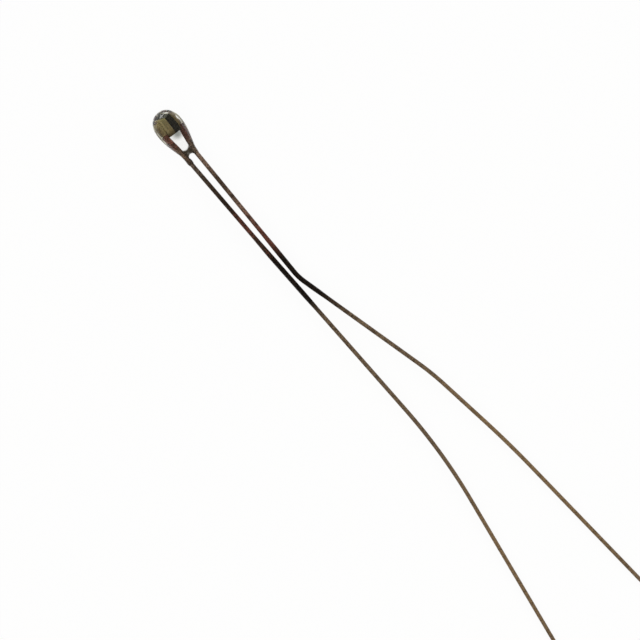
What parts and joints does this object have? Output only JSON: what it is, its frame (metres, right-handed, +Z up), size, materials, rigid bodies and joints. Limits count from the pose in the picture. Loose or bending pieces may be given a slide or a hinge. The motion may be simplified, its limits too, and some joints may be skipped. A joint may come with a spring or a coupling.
{
  "type": "bead thermistor",
  "caption": "Bead thermistor: a small oxide die held between enamelled wire leads and sealed in a clear teardrop, with the leads parting toward their tinned ends",
  "frame": {"origin": "on the table under the widest section of the bead, where the bead rests", "axes": "+X runs from the bead along the leads, +Z is up off the table, +Y is the side of the right lead"},
  "size_m": [0.0464, 0.0079, 0.0015],
  "materials": {
    "clear_resin": "clear hard resin, glossy",
    "oxide": "sintered metal oxide, matt black",
    "electrode_metal": "fired metal film, satin, tan seen through the resin",
    "solder": "dull solder",
    "copper": "bare copper",
    "enamel": "dark red-brown wire enamel",
    "tin": "hot-dipped tin"
  },
  "bodies": {
    "root": {"clear_drop": "clear_resin", "die": "oxide", "front_electrode": "electrode_metal", "back_electrode": "electrode_metal", "left_solder": "solder", "right_solder": "solder", "left_wire": "copper", "right_wire": "copper", "left_enamel": "enamel", "right_enamel": "enamel", "left_tip": "tin", "right_tip": "tin"}
  },
  "joints": []
}
